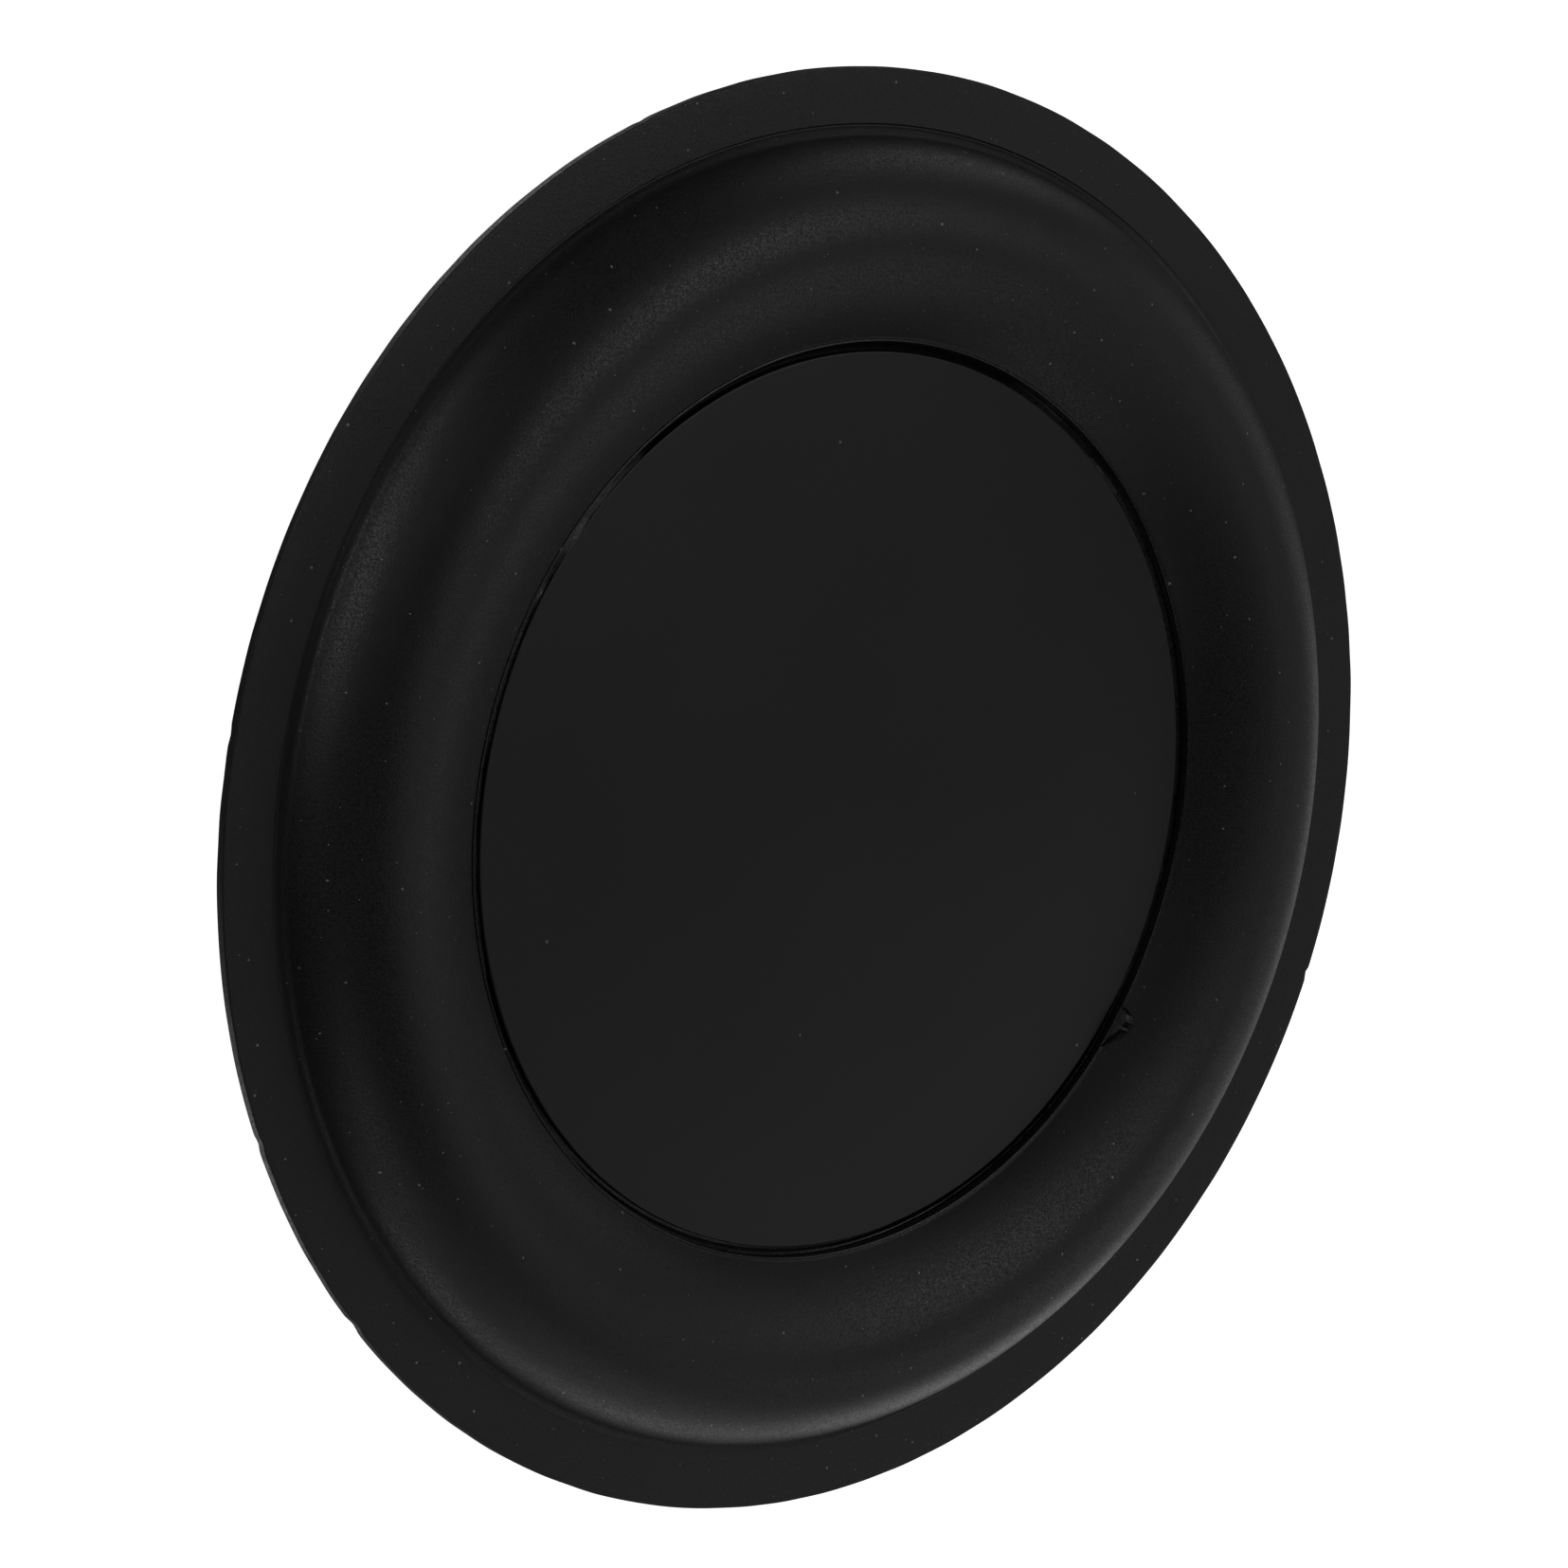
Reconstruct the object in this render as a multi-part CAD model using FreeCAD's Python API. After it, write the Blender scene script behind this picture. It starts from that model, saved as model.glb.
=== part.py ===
import FreeCAD, Part
import math
import os

# Passive radiator with a flat plate in a rubber surround.
# Millimetres. The axis is Z, with the front face up.
# The origin is at the centre of the flange's back face, the face that seats on a baffle.

# ---- driving dimensions ----
RIM_RADIUS = 83.0            # outer edge of the flange
FLANGE_THICKNESS = 1.2
ROLL_CENTRE_RADIUS = 65.0    # the crest of the roll runs on this circle
ROLL_ARC_RADIUS = 11.0       # front of the roll, in section
ROLL_HEIGHT = 8.0            # crest above the flange's front face
RAMP_ARC_RADIUS = 21.6       # front of the flatter inner flank, in section
SKIN = 1.0                   # wall of the roll, and the thickness of the inner landing
REBATE_RADIUS = 52.65        # wall of the seat that the plate sits in
LIP_WIDTH = 0.25             # flat top of the lip round the seat
LIP_STEP = 0.5               # the lip stands this far above the plate
LANDING_RADIUS = 43.0        # opening through the landing that the plate is glued to
LANDING_BACK = 1.0           # the landing's back face above the flange's back face

PLATE_RADIUS = 51.6
PLATE_THICKNESS = 1.0
PLATE_EDGE_RADIUS = 0.15
GLUE_THICKNESS = 0.15
GLUE_RING_INNER_RADIUS = 44.0
GLUE_WALL_GAP = 0.1          # between the glue ring and the wall of the seat

WEIGHT_RADIUS = 40.0
WEIGHT_EDGE_RADIUS = 0.25

# ---- heights and radii that follow ----
LANDING_FRONT = LANDING_BACK + SKIN
PLATE_BACK = LANDING_FRONT + GLUE_THICKNESS
PLATE_FRONT = PLATE_BACK + PLATE_THICKNESS
LIP_TOP = PLATE_FRONT + LIP_STEP
LIP_OUTER_RADIUS = REBATE_RADIUS + LIP_WIDTH
ROLL_CREST = FLANGE_THICKNESS + ROLL_HEIGHT
ROLL_CENTRE_HEIGHT = ROLL_CREST - ROLL_ARC_RADIUS
WEIGHT_FRONT = PLATE_BACK - GLUE_THICKNESS


def point(radius, height):
    """A point of a half section, in the XZ plane."""
    return FreeCAD.Vector(radius, 0, height)


def line(start, end):
    return Part.LineSegment(point(*start), point(*end)).toShape()


def arc(start, middle, end):
    return Part.Arc(point(*start), point(*middle), point(*end)).toShape()


def revolved(edges):
    """The solid that a closed half section sweeps in one turn about Z."""
    section = Part.Face(Part.Wire(edges))
    return section.revolve(FreeCAD.Vector(0, 0, 0), FreeCAD.Vector(0, 0, 1), 360)


def outline(corners):
    """Straight edges that join the corners and close the loop."""
    return [line(a, b) for a, b in zip(corners, corners[1:] + corners[:1])]


def disc(radius, back, front, edge_radius):
    """A flat disc with its front and back edges rounded over."""
    solid = Part.makeCylinder(radius, front - back, point(0, back))
    rims = [edge for edge in solid.Edges if isinstance(edge.Curve, Part.Circle)]
    return solid.makeFillet(edge_radius, rims)


def ring(inner, outer, back, front):
    return revolved(outline([(inner, back), (outer, back), (outer, front), (inner, front)]))


def outer_crossing(arc_radius, height):
    """Where a circle about the roll's centre meets a height, on its outer side."""
    reach = math.sqrt(arc_radius**2 - (height - ROLL_CENTRE_HEIGHT) ** 2)
    return (ROLL_CENTRE_RADIUS + reach, height)


def ramp_centre(start):
    """Centre of the arc that leaves start and runs on smoothly into the roll's arc."""
    across = ROLL_CENTRE_RADIUS - start[0]
    up = ROLL_CENTRE_HEIGHT - start[1]
    distance = math.hypot(across, up)
    reach = RAMP_ARC_RADIUS - ROLL_ARC_RADIUS
    along = (RAMP_ARC_RADIUS**2 - reach**2 + distance**2) / (2 * distance)
    aside = math.sqrt(RAMP_ARC_RADIUS**2 - along**2)
    radius = start[0] + (along * across + aside * up) / distance
    height = start[1] + (along * up - aside * across) / distance
    return (radius, height)


def on_circle(centre, toward, radius):
    """The point of a circle about centre that lies in the direction of another point."""
    across = toward[0] - centre[0]
    up = toward[1] - centre[1]
    scale = radius / math.hypot(across, up)
    return (centre[0] + across * scale, centre[1] + up * scale)


def ramp_arc(centre, lip_edge, radius):
    """The inner flank's arc, from the roll's arc down to the lip, and its two ends."""
    roll_centre = (ROLL_CENTRE_RADIUS, ROLL_CENTRE_HEIGHT)
    high = on_circle(centre, roll_centre, radius)
    low = on_circle(centre, lip_edge, radius)
    between = ((high[0] + low[0]) / 2, (high[1] + low[1]) / 2)
    return arc(high, on_circle(centre, between, radius), low), high, low


def rubber_surround():
    """Flange, roll, lip and landing, moulded as one piece."""
    back_arc_radius = ROLL_ARC_RADIUS - SKIN
    front_foot = outer_crossing(ROLL_ARC_RADIUS, FLANGE_THICKNESS)
    front_crest = (ROLL_CENTRE_RADIUS, ROLL_CREST)
    lip_edge = (LIP_OUTER_RADIUS, LIP_TOP)
    centre = ramp_centre(lip_edge)
    front_ramp, front_high, _ = ramp_arc(centre, lip_edge, RAMP_ARC_RADIUS)
    back_ramp, back_high, back_low = ramp_arc(centre, lip_edge, RAMP_ARC_RADIUS - SKIN)
    landing_root = (REBATE_RADIUS + SKIN, LANDING_BACK)
    back_crest = (ROLL_CENTRE_RADIUS, ROLL_CREST - SKIN)
    back_foot = outer_crossing(back_arc_radius, 0.0)
    edges = [
        line((RIM_RADIUS, 0.0), (RIM_RADIUS, FLANGE_THICKNESS)),
        line((RIM_RADIUS, FLANGE_THICKNESS), front_foot),
        arc(front_foot, front_crest, front_high),
        front_ramp,
        line(lip_edge, (REBATE_RADIUS, LIP_TOP)),
        line((REBATE_RADIUS, LIP_TOP), (REBATE_RADIUS, LANDING_FRONT)),
        line((REBATE_RADIUS, LANDING_FRONT), (LANDING_RADIUS, LANDING_FRONT)),
        line((LANDING_RADIUS, LANDING_FRONT), (LANDING_RADIUS, LANDING_BACK)),
        line((LANDING_RADIUS, LANDING_BACK), landing_root),
        line(landing_root, back_low),
        back_ramp,
        arc(back_high, back_crest, back_foot),
        line(back_foot, (RIM_RADIUS, 0.0)),
    ]
    return revolved(edges)


def front_plate():
    return disc(PLATE_RADIUS, PLATE_BACK, PLATE_FRONT, PLATE_EDGE_RADIUS)


def rear_weight_disc():
    return disc(WEIGHT_RADIUS, LANDING_BACK, WEIGHT_FRONT, WEIGHT_EDGE_RADIUS)


def landing_adhesive():
    """Glue between the landing and the front plate, squeezed out across the joint's floor."""
    outer = REBATE_RADIUS - GLUE_WALL_GAP
    return ring(GLUE_RING_INNER_RADIUS, outer, LANDING_FRONT, PLATE_BACK)


def weight_adhesive():
    """Glue between the front plate and the weight disc."""
    radius = WEIGHT_RADIUS - WEIGHT_EDGE_RADIUS
    return Part.makeCylinder(radius, GLUE_THICKNESS, point(0, WEIGHT_FRONT))


NODES = {
    "rubber_surround": rubber_surround,
    "front_plate": front_plate,
    "landing_adhesive": landing_adhesive,
    "weight_adhesive": weight_adhesive,
    "rear_weight_disc": rear_weight_disc,
}


def main():
    os.makedirs("parts", exist_ok=True)
    for name, make in NODES.items():
        make().exportStep(f"parts/{name}.step")


main()
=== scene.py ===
import math

import bmesh
import bpy
import numpy as np
from mathutils import Matrix, Vector


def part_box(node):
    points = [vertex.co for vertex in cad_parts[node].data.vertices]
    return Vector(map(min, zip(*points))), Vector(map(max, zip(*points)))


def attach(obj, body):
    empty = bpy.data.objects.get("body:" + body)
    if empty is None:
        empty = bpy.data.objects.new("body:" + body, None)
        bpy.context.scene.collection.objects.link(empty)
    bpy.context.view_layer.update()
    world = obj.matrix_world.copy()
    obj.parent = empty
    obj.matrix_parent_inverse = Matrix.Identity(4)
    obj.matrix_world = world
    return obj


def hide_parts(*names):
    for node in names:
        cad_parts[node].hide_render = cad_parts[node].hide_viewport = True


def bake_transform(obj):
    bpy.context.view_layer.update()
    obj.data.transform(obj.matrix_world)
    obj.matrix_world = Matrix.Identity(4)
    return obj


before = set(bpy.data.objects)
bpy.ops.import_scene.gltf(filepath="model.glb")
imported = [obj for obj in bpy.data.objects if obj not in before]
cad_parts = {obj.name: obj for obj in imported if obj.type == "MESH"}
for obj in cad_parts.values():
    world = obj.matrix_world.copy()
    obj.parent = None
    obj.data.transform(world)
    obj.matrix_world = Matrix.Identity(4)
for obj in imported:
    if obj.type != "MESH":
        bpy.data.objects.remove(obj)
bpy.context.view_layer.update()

MM = 0.001
TURN = 2 * math.pi

# ---- sizes read from the CAD frame ----
SURROUND_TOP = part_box("rubber_surround")[1]
PLATE_LOW, PLATE_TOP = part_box("front_plate")
GLUE_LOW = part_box("landing_adhesive")[0]
WEIGHT_LOW, WEIGHT_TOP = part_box("rear_weight_disc")

RIM_RADIUS = SURROUND_TOP.x
ROLL_CREST = SURROUND_TOP.z
PLATE_RADIUS = PLATE_TOP.x
PLATE_BACK = PLATE_LOW.z
PLATE_FRONT = PLATE_TOP.z
LANDING_FRONT = GLUE_LOW.z
LANDING_BACK = WEIGHT_LOW.z
WEIGHT_RADIUS = WEIGHT_TOP.x
WEIGHT_FRONT = WEIGHT_TOP.z

# ---- the surround's section: an upright lip with a round bead, a long flank and a half roll ----
FLANGE = 1.2 * MM
SKIN = LANDING_FRONT - LANDING_BACK
ROLL_CENTRE_RADIUS = 65.0 * MM
ROLL_ARC_RADIUS = 11.0 * MM
ROLL_CENTRE = (ROLL_CENTRE_RADIUS, ROLL_CREST - ROLL_ARC_RADIUS)
RAMP_ARC_RADIUS = 21.6 * MM
SEAT_RADIUS = 52.65 * MM
LIP_WIDTH = 0.25 * MM
LIP_OUTER = SEAT_RADIUS + LIP_WIDTH
LIP_TOP = PLATE_FRONT + 0.5 * MM
LIP_BEAD = 0.17 * MM
LANDING_RADIUS = 43.0 * MM
RIM_ROUND = 0.14 * MM
FOOT_ROUND = 1.4 * MM
FOOT_HEIGHT = FLANGE + FOOT_ROUND
ROLL_FOOT = ROLL_CENTRE_RADIUS + math.sqrt(
    (ROLL_ARC_RADIUS + FOOT_ROUND) ** 2 - (FOOT_HEIGHT - ROLL_CENTRE[1]) ** 2
)

# the crease at the roll's foot: crisp between two directions, with soft ends, and faint elsewhere
CREASE_OUTER = ROLL_FOOT + 0.15 * MM
CREASE_WIDTH = 0.8 * MM
CREASE_DEPTH = 0.25 * MM
CREASE_CRISP = (75.0, 185.0, 40.0)
CREASE_FAINT = 0.08

# the flange lifts towards the right and waves a little, and its trimmed rim is uneven
FLANGE_LIFT = 0.3 * MM
FLANGE_LIFT_HALF_WIDTH = 75.0
FLANGE_WAVE = 0.05 * MM
TRIM_UNEVEN = 0.012 * MM
TRIM_WIDTH = 0.6 * MM

# ---- the plate, the glue and the weight ----
PLATE_EDGE = 0.2 * MM
PLATE_OFFSET = Vector((0.06 * MM, -0.05 * MM, 0.0))
GLUE_INNER = 44.0 * MM
WEIGHT_EDGE = 0.25 * MM

# the glue in the groove: each stretch runs anticlockwise between two directions, with soft
# ends, all in degrees, and has its level over the groove's floor
GROOVE_FLOOR = 2.25 * MM
GLUE_STRETCHES = {
    "full": (142.0, 162.0, 5.0, 0.90 * MM),
    "part_full": (160.0, 212.0, 12.0, 0.55 * MM),
    "right": (-16.0, 62.0, 20.0, 0.65 * MM),
    "low": (-100.0, -16.0, 20.0, 0.15 * MM),
    "deep": (62.0, 141.0, 6.0, -0.18 * MM),
}
GLUE_UNEVEN = 0.02 * MM
GLUE_SPECKLE = 0.012 * MM
MENISCUS = 0.06 * MM
MENISCUS_WIDTH = 0.12
RIDGE_STRETCH = (-112.0, -18.0, 16.0)
RIDGE_HEIGHT = 0.8 * MM
RIDGE_PLACE = 0.52
RIDGE_WIDTH = 0.07

# nicks in the rim: direction and half width in degrees, and depth
RIM_NICKS = (
    (-4.1, 0.6, 0.30 * MM),
    (-173.6, 0.9, 0.14 * MM),
    (-142.5, 0.8, 0.18 * MM),
    (-124.9, 1.2, 0.22 * MM),
    (128.0, 0.7, 0.10 * MM),
)

# the scrap of squeezed-out glue on the lip: directions in degrees, and its grid of points
SCRAP_START = -16.8
SCRAP_END = -22.8
SCRAP_REACH = 1.35 * MM
SCRAP_OVERLAP = 0.3 * MM
SCRAP_THICKNESS = 0.14 * MM
SCRAP_CURL = 0.45 * MM
SCRAP_COLUMNS = 42
SCRAP_ROWS = 10

# steps of every lathed shape round the axis, unless it asks for fewer
SEGMENTS = 900

# ---- the view: the camera leans towards -X and is twisted about its own axis ----
VIEW_TILT = math.radians(40.9)
VIEW_TWIST = math.radians(14.68)
VIEW_DISTANCE = 575.1 * MM
VIEW_RIGHT = -5.19 * MM
VIEW_UP = 1.71 * MM
LENS = 115.7

# ---- the studio, in metres and watts ----
FLOOR_RADIUS = 8.0
FLOOR_TURN = 2.0
FLOOR_DROP = -12.0 * MM
SOFT_BOX_SIZE = 0.5
SOFT_BOX_DISTANCE = 1.1
WORLD_LIGHT = 0.005
# rings of soft boxes round the object: name, rise in degrees, watts each, directions in degrees
LIGHT_RINGS = (
    ("key", 60.0, 1.15, (45.0,)),
    ("high", 44.0, 0.3, (60.0, 150.0, 330.0)),
    ("middle", 26.0, 0.5, (250.0, 300.0, 350.0)),
    ("left", 8.0, 1.2, (170.0,)),
    ("far", 8.0, 0.35, (25.0, 70.0)),
    ("sweep_near", -12.0, 1.1, (150.0, 270.0, 300.0, 330.0)),
    ("sweep_far", -12.0, 0.45, (0.0, 60.0)),
    ("floor_side", -45.0, 1.25, (105.0, 255.0)),
)


# ---------------------------------------------------------------- mesh tools
def smoothstep(low, high, value):
    t = np.clip((value - low) / (high - low), 0.0, 1.0)
    return t * t * (3 - 2 * t)


def arc(centre, radius, start, end, count):
    """Points on a circle about centre, from one angle to another, in degrees."""
    angles = np.radians(np.linspace(start, end, count))
    return [(centre[0] + radius * math.cos(a), centre[1] + radius * math.sin(a)) for a in angles]


def run(start, end, count, ends=False):
    """Evenly spaced points between two points, with or without the two."""
    steps = np.linspace(0.0, 1.0, count + 2)
    if not ends:
        steps = steps[1:-1]
    return [(start[0] + (end[0] - start[0]) * t, start[1] + (end[1] - start[1]) * t) for t in steps]


def new_mesh(name, points, faces, weld=0.0):
    """An object of these points and faces, welded and with its faces turned outwards."""
    mesh = bpy.data.meshes.new(name)
    mesh.from_pydata([tuple(p) for p in points], [], faces)
    work = bmesh.new()
    work.from_mesh(mesh)
    if weld:
        bmesh.ops.remove_doubles(work, verts=work.verts, dist=weld)
    bmesh.ops.recalc_face_normals(work, faces=work.faces)
    work.to_mesh(mesh)
    work.free()
    mesh.shade_smooth()
    thing = bpy.data.objects.new(name, mesh)
    bpy.context.scene.collection.objects.link(thing)
    return thing


def lathe(name, section, shape=None, closed=True, segments=SEGMENTS):
    """A section of (radius, height) points turned about Z.

    shape(radius, height, angle) may change the three arrays before the turn.
    """
    around = np.arange(segments) / segments * TURN
    radius, angle = np.meshgrid([p[0] for p in section], around, indexing="ij")
    height = np.meshgrid([p[1] for p in section], around, indexing="ij")[0]
    if shape:
        radius, height = shape(radius, height, angle)
    points = np.stack([radius * np.cos(angle), radius * np.sin(angle), height], axis=-1)
    count = len(section)
    faces = []
    for i in range(count if closed else count - 1):
        k = (i + 1) % count
        for j in range(segments):
            n = (j + 1) % segments
            faces.append((i * segments + j, i * segments + n, k * segments + n, k * segments + j))
    return new_mesh(name, points.reshape(-1, 3), faces, weld=0.0 if closed else 0.001 * MM)


def angle_gap(angle, centre):
    """Signed angle from a direction in degrees, in degrees."""
    return (np.degrees(angle) - centre + 180.0) % 360.0 - 180.0


def lobe(angle, centre, half_width):
    """A smooth bump round one direction, 1 at its centre and 0 past half_width degrees."""
    t = np.clip(1.0 - np.abs(angle_gap(angle, centre)) / half_width, 0.0, 1.0)
    return t * t * (3 - 2 * t)


def stretch(angle, start, end, soft):
    """1 between two directions, going anticlockwise, with soft ends of that many degrees."""
    half = ((end - start) % 360.0) / 2
    away = np.abs(angle_gap(angle, start + half))
    return 1.0 - smoothstep(half - soft / 2, half + soft / 2, away)


def ripple(angle, seed, low, high, power=0.5):
    """A periodic random line of about unit size, from waves of low to high turns."""
    draw = np.random.default_rng(seed)
    total = np.zeros_like(angle)
    weight = 0.0
    for turns in range(low, high + 1):
        size = turns**-power
        total += size * np.cos(turns * angle + draw.uniform(0.0, TURN))
        weight += size * size / 2
    return total / math.sqrt(weight)


# ---------------------------------------------------------------- the surround
def ramp_centre():
    """Centre of the inner flank's arc, which leaves the lip and runs on smoothly into the roll."""
    across = ROLL_CENTRE[0] - LIP_OUTER
    up = ROLL_CENTRE[1] - LIP_TOP
    distance = math.hypot(across, up)
    reach = RAMP_ARC_RADIUS - ROLL_ARC_RADIUS
    along = (RAMP_ARC_RADIUS**2 - reach**2 + distance**2) / (2 * distance)
    aside = math.sqrt(RAMP_ARC_RADIUS**2 - along**2)
    radius = LIP_OUTER + (along * across + aside * up) / distance
    height = LIP_TOP + (along * up - aside * across) / distance
    return (radius, height)


def direction(start, end):
    return math.degrees(math.atan2(end[1] - start[1], end[0] - start[0]))


def foot_angle(radius, height):
    return math.degrees(math.asin((height - ROLL_CENTRE[1]) / radius))


def surround_section():
    """Closed section, anticlockwise: rim, flange, crease, roll, lip, seat, landing and the back."""
    back_radius = ROLL_ARC_RADIUS - SKIN
    landing_root = (SEAT_RADIUS + SKIN, LANDING_BACK)
    centre = ramp_centre()
    high = direction(centre, ROLL_CENTRE)
    low = direction(centre, (LIP_OUTER, LIP_TOP))
    front_foot = foot_angle(ROLL_ARC_RADIUS + FOOT_ROUND, FOOT_HEIGHT)
    front_roll = arc(ROLL_CENTRE, ROLL_ARC_RADIUS, front_foot, high, 56)
    back_ramp = arc(centre, RAMP_ARC_RADIUS - SKIN, low, high, 14)
    back_roll = arc(ROLL_CENTRE, back_radius, high, foot_angle(back_radius, 0.0), 36)
    rim_front = (RIM_RADIUS - RIM_ROUND, FLANGE - RIM_ROUND)
    rim_back = (RIM_RADIUS - RIM_ROUND, RIM_ROUND)
    bead = (SEAT_RADIUS + LIP_BEAD, LIP_TOP + 0.4 * LIP_BEAD)
    crease_edge = CREASE_OUTER + 0.1 * MM
    section = arc(rim_front, RIM_ROUND, 0.0, 90.0, 6)
    section += run((rim_front[0], FLANGE), (crease_edge, FLANGE), 26)
    section += run((crease_edge, FLANGE), (ROLL_FOOT, FLANGE), 6, ends=True)
    section += arc((ROLL_FOOT, FOOT_HEIGHT), FOOT_ROUND, 270.0, 180.0 + front_foot, 22)[1:]
    section += front_roll[1:]
    section += arc(centre, RAMP_ARC_RADIUS, high, low - 0.4, 26)[1:]
    section += arc(bead, LIP_BEAD, 12.0, 180.0, 12)
    section += run((SEAT_RADIUS, bead[1]), (SEAT_RADIUS, LANDING_FRONT), 6)
    section += run((SEAT_RADIUS, LANDING_FRONT), (LANDING_RADIUS, LANDING_FRONT), 3, ends=True)
    section += run((LANDING_RADIUS, LANDING_BACK), landing_root, 6, ends=True)
    section += run(landing_root, back_ramp[0], 3)
    section += back_ramp
    section += back_roll[1:]
    section += run((back_roll[-1][0], 0.0), (rim_back[0], 0.0), 8)
    section += arc(rim_back, RIM_ROUND, 270.0, 360.0, 5)
    return section


def surround_shape(radius, height, angle):
    """Small unevenness of the moulding: the crease, the wavy flange and the trimmed rim."""
    across = 1.0 - (CREASE_OUTER - radius) / CREASE_WIDTH
    crisp = CREASE_FAINT + (1.0 - CREASE_FAINT) * stretch(angle, *CREASE_CRISP)
    dip = smoothstep(0.0, 0.7, across) * (1.0 - smoothstep(0.8, 1.0, across))
    height = height - np.where(height > 0.9 * FLANGE, CREASE_DEPTH * crisp * dip, 0.0)
    outward = smoothstep(ROLL_FOOT, RIM_RADIUS, radius)
    lift = FLANGE_LIFT * lobe(angle, 0.0, FLANGE_LIFT_HALF_WIDTH)
    lift = lift + FLANGE_WAVE * (1.0 + ripple(angle, 3, 2, 6))
    height = height + outward * np.maximum(lift, 0.0)
    rim = smoothstep(RIM_RADIUS - TRIM_WIDTH, RIM_RADIUS, radius)
    nicks = sum(depth * lobe(angle, place, width) for place, width, depth in RIM_NICKS)
    trim = TRIM_UNEVEN * (1.5 + ripple(angle, 7, 20, 90, power=0.2))
    return radius - rim * (trim + nicks), height


def make_surround(material):
    skin = lathe("surround_skin", surround_section(), surround_shape)
    skin.data.materials.append(material)
    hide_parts("rubber_surround")
    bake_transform(skin)


# ---------------------------------------------------------------- the piston
def disc_section(radius, back, front, edge):
    """Open section from the centre of the back, round the rim, to the centre of the front."""
    section = [(0.0, back)]
    section += run((0.0, back), (radius - edge - 0.1 * MM, back), 6)
    section += run((radius - edge - 0.1 * MM, back), (radius - edge, back), 1)
    section += arc((radius - edge, back + edge), edge, 270.0, 360.0, 6)
    section += run((radius, back + edge), (radius, front - edge), 3)
    section += arc((radius - edge, front - edge), edge, 0.0, 90.0, 7)
    section += run((radius - edge, front), (radius - edge - 0.1 * MM, front), 1)
    section += run((radius - edge - 0.1 * MM, front), (0.0, front), 14)
    section += [(0.0, front)]
    return section


def make_plate(material):
    section = disc_section(PLATE_RADIUS, PLATE_BACK, PLATE_FRONT, PLATE_EDGE)
    plate = lathe("plate_face", section, closed=False)
    plate.data.transform(Matrix.Translation(PLATE_OFFSET))
    plate.data.materials.append(material)
    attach(plate, "piston")
    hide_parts("front_plate")


def make_weight(material):
    section = disc_section(WEIGHT_RADIUS, LANDING_BACK, WEIGHT_FRONT, WEIGHT_EDGE)
    weight = lathe("weight_disc", section, closed=False, segments=360)
    weight.data.materials.append(material)
    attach(weight, "piston")
    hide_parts("rear_weight_disc")


def glue_section():
    """Closed section: a film under the plate that wells up into the groove round it."""
    groove_inner = PLATE_RADIUS - 0.02 * MM
    groove_outer = SEAT_RADIUS - 0.01 * MM
    film_edge = PLATE_RADIUS - 0.3 * MM
    section = run((GLUE_INNER, LANDING_FRONT), (groove_outer, LANDING_FRONT), 8, ends=True)
    section += run((groove_outer, GROOVE_FLOOR), (groove_inner, GROOVE_FLOOR), 44, ends=True)
    section += run((film_edge, PLATE_BACK), (GLUE_INNER, PLATE_BACK), 6, ends=True)
    return section


def glue_shape(radius, height, angle):
    """Level of the glue in the groove, with a thin raised ridge where the plate was pressed in."""
    top = height > PLATE_BACK + 0.05 * MM
    across = np.clip((radius - PLATE_RADIUS) / (SEAT_RADIUS - PLATE_RADIUS), 0.0, 1.0)
    share = {}
    level = np.zeros_like(angle)
    for name, (start, end, soft, over_floor) in GLUE_STRETCHES.items():
        share[name] = stretch(angle, start, end, soft)
        level += over_floor * share[name]
    rough = 1.0 + 2.0 * share["part_full"] + 1.5 * share["full"]
    level += GLUE_UNEVEN * ripple(angle, 11, 6, 60, power=0.3) * rough
    level += MENISCUS * (np.exp(-across / MENISCUS_WIDTH) + np.exp(-(1.0 - across) / MENISCUS_WIDTH))
    place = RIDGE_PLACE + 0.04 * ripple(angle, 12, 2, 14)
    ridge = np.exp(-(((across - place) / RIDGE_WIDTH) ** 2))
    level += RIDGE_HEIGHT * stretch(angle, *RIDGE_STRETCH) * ridge
    grain = ripple(angle + 9.0 * across, 13, 60, 240, power=0.0)
    level += GLUE_SPECKLE * grain * (share["part_full"] + share["full"])
    return radius, np.minimum(height + np.where(top, level, 0.0), LIP_TOP)


def make_glue(material):
    glue = lathe("glue_bead", glue_section(), glue_shape)
    glue.data.materials.append(material)
    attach(glue, "piston")
    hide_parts("landing_adhesive")


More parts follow.
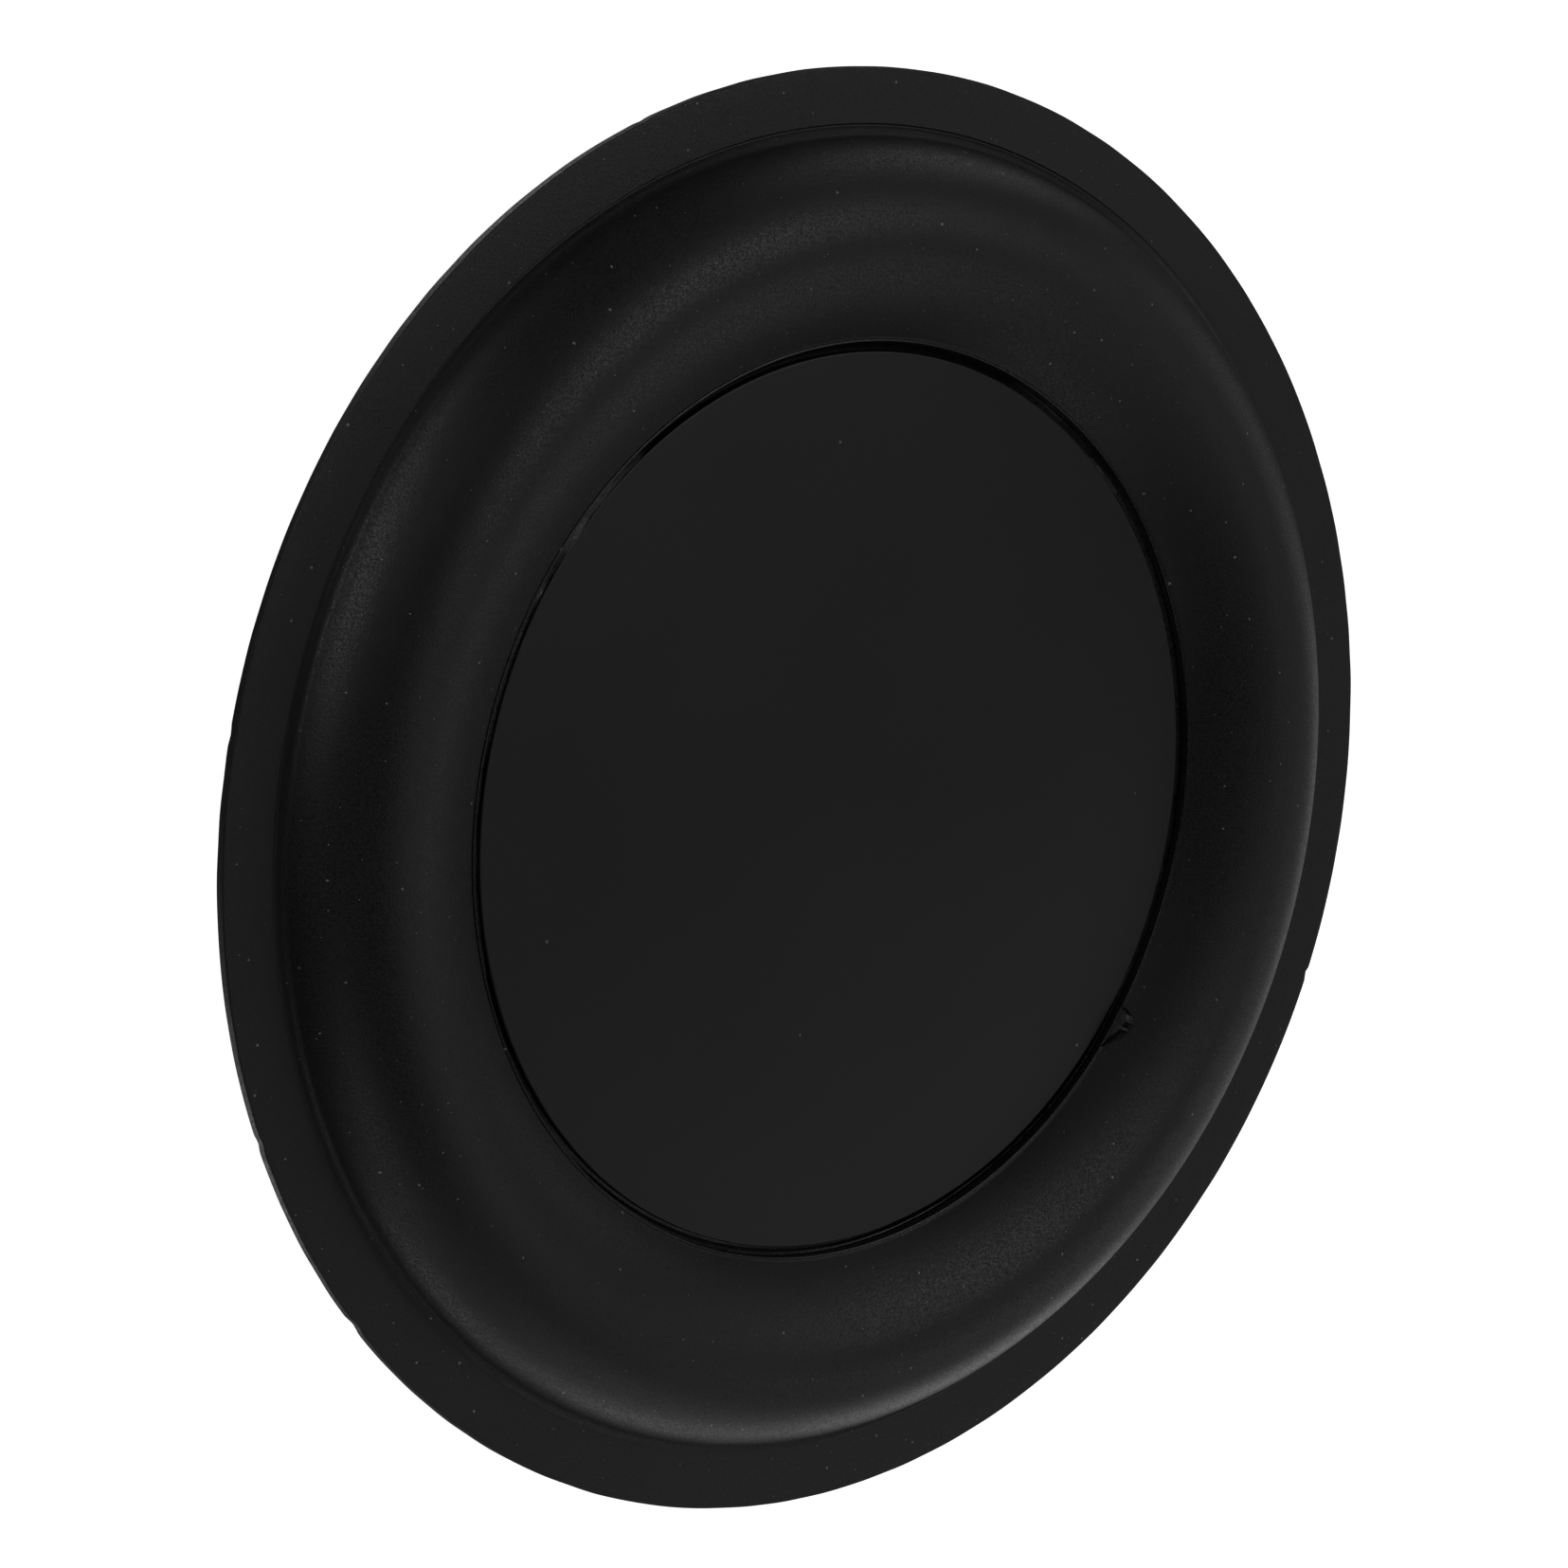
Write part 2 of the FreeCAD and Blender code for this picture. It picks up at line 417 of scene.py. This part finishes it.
def scrap_sheets():
    """Points of the scrap's front and back: a sheet over the lip whose far edge curls up."""
    centre = ramp_centre()
    steps = np.linspace(0.0, 1.0, SCRAP_COLUMNS), np.linspace(0.0, 1.0, SCRAP_ROWS)
    t, v = np.meshgrid(*steps, indexing="ij")
    angle = np.radians(SCRAP_START + (SCRAP_END - SCRAP_START) * t)
    reach = SCRAP_REACH * np.sin(math.pi * t**0.55) ** 1.2 + 0.12 * MM
    reach = reach * (1.0 + 0.05 * np.sin(31.0 * t) + 0.04 * np.sin(57.0 * t + 1.0))
    radius = LIP_OUTER - SCRAP_OVERLAP + reach * v
    ramp = centre[1] + np.sqrt(RAMP_ARC_RADIUS**2 - (centre[0] - radius) ** 2)
    ground = np.where(radius > LIP_OUTER, ramp, LIP_TOP)
    curl = SCRAP_CURL * smoothstep(0.72, 1.0, v)
    curl = curl + MM * (0.03 + 0.12 * v + 0.02 * np.sin(14.0 * t + 3.0 * v))
    front = ground + curl + SCRAP_THICKNESS / 2
    return [
        np.stack([radius * np.cos(angle), radius * np.sin(angle), level], axis=-1).reshape(-1, 3)
        for level in (front, front - SCRAP_THICKNESS)
    ]


def sheet_faces(columns, rows):
    """Faces of a front grid, of the back grid whose points follow it, and of the edge between."""
    count = columns * rows
    faces = []
    for i in range(columns - 1):
        for j in range(rows - 1):
            a, b = i * rows + j, (i + 1) * rows + j
            faces.append((a, b, b + 1, a + 1))
            faces.append((count + a, count + a + 1, count + b + 1, count + b))
    edge = [i * rows for i in range(columns)]
    edge += [(columns - 1) * rows + j for j in range(1, rows)]
    edge += [i * rows + rows - 1 for i in range(columns - 2, -1, -1)]
    edge += list(range(rows - 2, 0, -1))
    faces += [(a, b, count + b, count + a) for a, b in zip(edge, edge[1:] + edge[:1])]
    return faces


def make_scrap(material):
    """A thin curled scrap of glue that runs over the lip onto the start of the flank."""
    points = np.concatenate(scrap_sheets())
    scrap = new_mesh("glue_scrap", points, sheet_faces(SCRAP_COLUMNS, SCRAP_ROWS))
    scrap.data.materials.append(material)
    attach(scrap, "piston")


def paint_weight_glue(material):
    """The glue under the weight disc stays the plain CAD node, with the glue's material."""
    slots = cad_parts["weight_adhesive"].data.materials
    slots.clear()
    slots.append(material)


# ---------------------------------------------------------------- materials
class Nodes:
    """A material's node tree, with short calls to add and join nodes."""

    def __init__(self, name):
        self.material = bpy.data.materials.new(name)
        self.material.use_nodes = True
        self.tree = self.material.node_tree
        self.tree.nodes.clear()
        self.shader = self.add("ShaderNodeBsdfPrincipled")
        output = self.add("ShaderNodeOutputMaterial")
        self.join(self.shader.outputs["BSDF"], output.inputs["Surface"])
        self.place = self.add("ShaderNodeTexCoord").outputs["Object"]

    def add(self, kind, **settings):
        node = self.tree.nodes.new(kind)
        for key, value in settings.items():
            setattr(node, key, value)
        return node

    def join(self, output, socket):
        self.tree.links.new(output, socket)

    def noise(self, scale, detail=2.0, roughness=0.5):
        node = self.add("ShaderNodeTexNoise")
        node.inputs["Scale"].default_value = scale
        node.inputs["Detail"].default_value = detail
        node.inputs["Roughness"].default_value = roughness
        self.join(self.place, node.inputs["Vector"])
        return node.outputs["Fac"]

    def remap(self, value, low, high, to_low, to_high):
        node = self.add("ShaderNodeMapRange")
        self.join(value, node.inputs["Value"])
        node.inputs["From Min"].default_value = low
        node.inputs["From Max"].default_value = high
        node.inputs["To Min"].default_value = to_low
        node.inputs["To Max"].default_value = to_high
        return node.outputs["Result"]

    def math(self, operation, first, second):
        node = self.add("ShaderNodeMath", operation=operation)
        for socket, value in zip(node.inputs, (first, second)):
            if isinstance(value, (int, float)):
                socket.default_value = value
            else:
                self.join(value, socket)
        return node.outputs["Value"]

    def mix(self, factor, first, second):
        node = self.add("ShaderNodeMix", data_type="RGBA")
        self.join(factor, node.inputs["Factor"])
        for socket, value in ((node.inputs[6], first), (node.inputs[7], second)):
            if isinstance(value, tuple):
                socket.default_value = (*value, 1.0)
            else:
                self.join(value, socket)
        return node.outputs[2]

    def bump(self, height, distance, strength=1.0, below=None):
        node = self.add("ShaderNodeBump")
        node.inputs["Strength"].default_value = strength
        node.inputs["Distance"].default_value = distance
        self.join(height, node.inputs["Height"])
        if below:
            self.join(below, node.inputs["Normal"])
        return node.outputs["Normal"]

    def from_axis(self):
        """Distance from the object's axis."""
        flat = self.add("ShaderNodeVectorMath", operation="MULTIPLY")
        flat.inputs[1].default_value = (1.0, 1.0, 0.0)
        length = self.add("ShaderNodeVectorMath", operation="LENGTH")
        self.join(self.place, flat.inputs[0])
        self.join(flat.outputs["Vector"], length.inputs[0])
        return length.outputs["Value"]

    def towards(self, turn):
        """Distance from the object's axis along one direction, given in degrees."""
        along = self.add("ShaderNodeVectorMath", operation="DOT_PRODUCT")
        turn = math.radians(turn)
        along.inputs[1].default_value = (math.cos(turn), math.sin(turn), 0.0)
        self.join(self.place, along.inputs[0])
        return along.outputs["Value"]

    def specks(self, cells, size, share):
        """Small round dust grains: one a cell at most, in that share of the cells."""
        node = self.add("ShaderNodeTexVoronoi", voronoi_dimensions="2D")
        node.inputs["Scale"].default_value = cells
        self.join(self.place, node.inputs["Vector"])
        split = self.add("ShaderNodeSeparateColor")
        self.join(node.outputs["Color"], split.inputs["Color"])
        chosen = self.math("LESS_THAN", split.outputs["Red"], share)
        reach = self.math("MULTIPLY", split.outputs["Green"], size * cells)
        inside = self.math("LESS_THAN", node.outputs["Distance"], reach)
        return self.math("MULTIPLY", chosen, inside)


RUBBER_COLOUR = (0.0125, 0.0125, 0.0128)
RUBBER_LIGHT = (0.0155, 0.0155, 0.0158)
RUBBER_ROUGHNESS = (0.34, 0.62)
LIP_SMOOTHER_BY = 0.28
PLATE_COLOUR = (0.0105, 0.0105, 0.0108)
PLATE_ROUGHNESS = (0.36, 0.39)
GLUE_COLOUR = (0.004, 0.004, 0.0043)
GLUE_ROUGHNESS = (0.22, 0.42)
DULL_GLUE_TURN = 112.0
DULL_GLUE_REACH = (40.0 * MM, 45.0 * MM)
STEEL_STAINED = (0.36, 0.365, 0.37)
STEEL_CLEAN = (0.47, 0.475, 0.48)
STEEL_ROUGHNESS = (0.28, 0.46)
DUST_COLOUR = (0.26, 0.26, 0.255)


def rubber():
    """Matt moulded rubber with a fine grain, uneven bloom and a little dust."""
    n = Nodes("surround_rubber")
    bloom = n.remap(n.noise(55.0, 3.0), 0.35, 0.65, 0.0, 1.0)
    dust = n.math("MAXIMUM", n.specks(200.0, 0.00016, 0.50), n.specks(450.0, 0.00007, 0.35))
    base = n.mix(bloom, RUBBER_COLOUR, RUBBER_LIGHT)
    n.join(n.mix(dust, base, DUST_COLOUR), n.shader.inputs["Base Color"])
    grain = n.noise(4200.0, 3.0, 0.6)
    rough = n.remap(grain, 0.38, 0.62, *RUBBER_ROUGHNESS)
    lip = n.math("LESS_THAN", n.from_axis(), LIP_OUTER + 0.02 * MM)
    smoother = n.math("MULTIPLY", lip, LIP_SMOOTHER_BY)
    n.join(n.math("SUBTRACT", rough, smoother), n.shader.inputs["Roughness"])
    coarse = n.bump(n.noise(900.0, 2.0), 0.00002, 0.12)
    n.join(n.bump(grain, 0.00003, 0.9, coarse), n.shader.inputs["Normal"])
    return n.material


def coating():
    """Smooth satin coating of the plate, almost without grain."""
    n = Nodes("plate_coating")
    dust = n.specks(48.0, 0.00018, 0.40)
    n.join(n.mix(dust, PLATE_COLOUR, DUST_COLOUR), n.shader.inputs["Base Color"])
    cloud = n.noise(40.0, 3.0)
    n.join(n.remap(cloud, 0.3, 0.7, *PLATE_ROUGHNESS), n.shader.inputs["Roughness"])
    n.join(n.bump(n.noise(3000.0, 2.0), 0.000004, 0.5), n.shader.inputs["Normal"])
    return n.material


def glue():
    """Cured black glue: smooth and shiny with small dimples, and dull deep down at the top."""
    n = Nodes("black_glue")
    n.shader.inputs["Base Color"].default_value = (*GLUE_COLOUR, 1.0)
    lumps = n.noise(1800.0, 3.0, 0.6)
    n.join(n.remap(lumps, 0.3, 0.7, *GLUE_ROUGHNESS), n.shader.inputs["Roughness"])
    dull = n.remap(n.towards(DULL_GLUE_TURN), *DULL_GLUE_REACH, 0.5, 0.04)
    n.join(dull, n.shader.inputs["Specular IOR Level"])
    n.join(n.bump(lumps, 0.00006, 0.5), n.shader.inputs["Normal"])
    return n.material


def steel():
    """Zinc-plated steel with fine scratches."""
    n = Nodes("zinc_steel")
    stain = n.remap(n.noise(70.0, 4.0), 0.3, 0.7, 0.0, 1.0)
    n.join(n.mix(stain, STEEL_STAINED, STEEL_CLEAN), n.shader.inputs["Base Color"])
    n.shader.inputs["Metallic"].default_value = 1.0
    fine = n.noise(2600.0, 3.0, 0.6)
    n.join(n.remap(fine, 0.3, 0.7, *STEEL_ROUGHNESS), n.shader.inputs["Roughness"])
    n.join(n.bump(fine, 0.00001, 0.5), n.shader.inputs["Normal"])
    return n.material


def paper():
    """Pale floor that glows a little, as a lit white sweep does."""
    n = Nodes("white_floor")
    shade = n.remap(n.noise(3.0, 2.0), 0.3, 0.7, 0.0, 1.0)
    n.join(n.mix(shade, (0.86, 0.86, 0.86), (0.88, 0.88, 0.88)), n.shader.inputs["Base Color"])
    n.shader.inputs["Roughness"].default_value = 0.9
    n.shader.inputs["Emission Color"].default_value = (1.0, 1.0, 1.0, 1.0)
    n.shader.inputs["Emission Strength"].default_value = 1.0
    return n.material


# ---------------------------------------------------------------- the studio
def make_floor():
    """A round white sweep: flat under the object and turned up far away.

    Only the camera sees it. It lies clear of the plate's lowest place, and the light goes
    through it, so that the object stands on plain white without a shadow.
    """
    section = [(0.0, FLOOR_DROP), (FLOOR_RADIUS - FLOOR_TURN, FLOOR_DROP)]
    turn_centre = (FLOOR_RADIUS - FLOOR_TURN, FLOOR_DROP + FLOOR_TURN)
    section += arc(turn_centre, FLOOR_TURN, 270.0, 360.0, 12)[1:]
    section += [(FLOOR_RADIUS, FLOOR_RADIUS)]
    floor = lathe("floor", section, closed=False, segments=72)
    floor.data.materials.append(paper())
    floor.visible_diffuse = False
    floor.visible_glossy = False
    floor.visible_shadow = False


def soft_box(name, turn, rise, power):
    """A square soft box, turned to the object from a direction and a rise in degrees."""
    data = bpy.data.lights.new(name, "AREA")
    data.size = SOFT_BOX_SIZE
    data.energy = power
    light = bpy.data.objects.new(name, data)
    turn, rise = math.radians(turn), math.radians(rise)
    level = math.cos(rise)
    away = Vector((level * math.cos(turn), level * math.sin(turn), math.sin(rise)))
    light.location = away * SOFT_BOX_DISTANCE
    light.rotation_mode = "QUATERNION"
    light.rotation_quaternion = away.to_track_quat("Z", "Y")
    light.visible_camera = False
    bpy.context.scene.collection.objects.link(light)


def make_lights():
    """Rings of soft boxes. Those under the horizon light the object's flanks."""
    for ring, rise, power, turns in LIGHT_RINGS:
        for number, turn in enumerate(turns):
            soft_box(f"{ring}_{number}", turn, rise, power)
    world = bpy.data.worlds.new("studio")
    world.use_nodes = True
    background = world.node_tree.nodes["Background"]
    background.inputs["Color"].default_value = (1.0, 1.0, 1.0, 1.0)
    background.inputs["Strength"].default_value = WORLD_LIGHT
    bpy.context.scene.world = world


def make_camera():
    tilt_s, tilt_c = math.sin(VIEW_TILT), math.cos(VIEW_TILT)
    twist_s, twist_c = math.sin(VIEW_TWIST), math.cos(VIEW_TWIST)
    back = Vector((-tilt_s, 0.0, tilt_c))
    right = Vector((tilt_c * twist_c, twist_s, tilt_s * twist_c))
    up = Vector((-tilt_c * twist_s, twist_c, -tilt_s * twist_s))
    data = bpy.data.cameras.new("camera")
    data.lens = LENS
    data.sensor_width = 36.0
    data.clip_start = 0.01
    data.clip_end = 50.0
    camera = bpy.data.objects.new("camera", data)
    camera.matrix_world = Matrix.Translation(
        back * VIEW_DISTANCE + right * VIEW_RIGHT + up * VIEW_UP
    ) @ Matrix((right, up, back)).transposed().to_4x4()
    bpy.context.scene.collection.objects.link(camera)
    bpy.context.scene.camera = camera


# ---------------------------------------------------------------- put together
make_surround(rubber())
make_plate(coating())
make_weight(steel())
glue_material = glue()
make_glue(glue_material)
make_scrap(glue_material)
paint_weight_glue(glue_material)
make_floor()
make_lights()
make_camera()
bpy.context.scene.view_settings.view_transform = "Standard"
